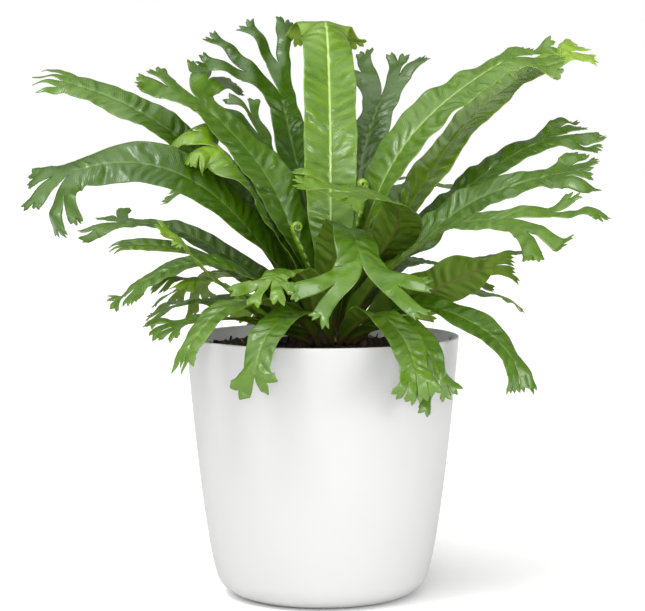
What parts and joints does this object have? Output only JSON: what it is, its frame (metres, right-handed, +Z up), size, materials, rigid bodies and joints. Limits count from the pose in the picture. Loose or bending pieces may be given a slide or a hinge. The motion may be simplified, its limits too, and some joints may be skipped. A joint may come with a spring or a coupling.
{
  "type": "potted fern",
  "caption": "Crested bird's nest fern, its strap fronds ending in forked antler-like crests, planted in a round tapering white pot.",
  "frame": {"origin": "middle of the pot's flat base, on the surface it stands on", "axes": "+Z up along the pot's axis, -Y is the front that is seen in use, +X is the right"},
  "size_m": [0.3909, 0.3231, 0.3805],
  "materials": {
    "pot_white": "smooth satin white plastic",
    "soil": "moist dark peat with coarse fibres",
    "crown_scales": "brown papery scales",
    "frond_green": "glossy leathery leaf with rippled side veins",
    "frond_young": "pale glossy young leaf, still coiled"
  },
  "bodies": {
    "root": {"crown": "crown_scales", "frond_back_left_high": "frond_green", "frond_back_left_low": "frond_green", "frond_back_left_short": "frond_green", "frond_back_left_wide": "frond_green", "frond_back_middle": "frond_green", "frond_back_right_high": "frond_green", "frond_back_right_low": "frond_green", "frond_back_right_tall": "frond_green", "frond_back_right_wide": "frond_green", "frond_back_upright": "frond_green", "frond_centre_turned": "frond_green", "frond_front_drooping": "frond_green", "frond_front_left_arching": "frond_green", "frond_front_left_drooping": "frond_green", "frond_front_left_raised": "frond_green", "frond_front_palmate": "frond_green", "frond_front_right_drooping": "frond_green", "frond_front_right_forked": "frond_green", "frond_left_arching": "frond_green", "frond_left_branched": "frond_green", "frond_left_glossy": "frond_green", "frond_left_highest": "frond_green", "frond_left_long": "frond_green", "frond_left_lower": "frond_green", "frond_left_lowest": "frond_green", "frond_left_narrow": "frond_green", "frond_left_short": "frond_green", "frond_left_upright": "frond_green", "frond_right_broad": "frond_green", "frond_right_drooping": "frond_green", "frond_right_highest": "frond_green", "frond_right_low": "frond_green", "frond_right_middle": "frond_green", "frond_right_pointed": "frond_green", "frond_right_spread": "frond_green", "frond_right_tall": "frond_green", "frond_right_upper": "frond_green", "frond_tall_centre": "frond_green", "frond_tall_left": "frond_green", "frond_young_front": "frond_young", "frond_young_left": "frond_young", "frond_young_right": "frond_young", "pot": "pot_white", "soil": "soil"}
  },
  "joints": []
}
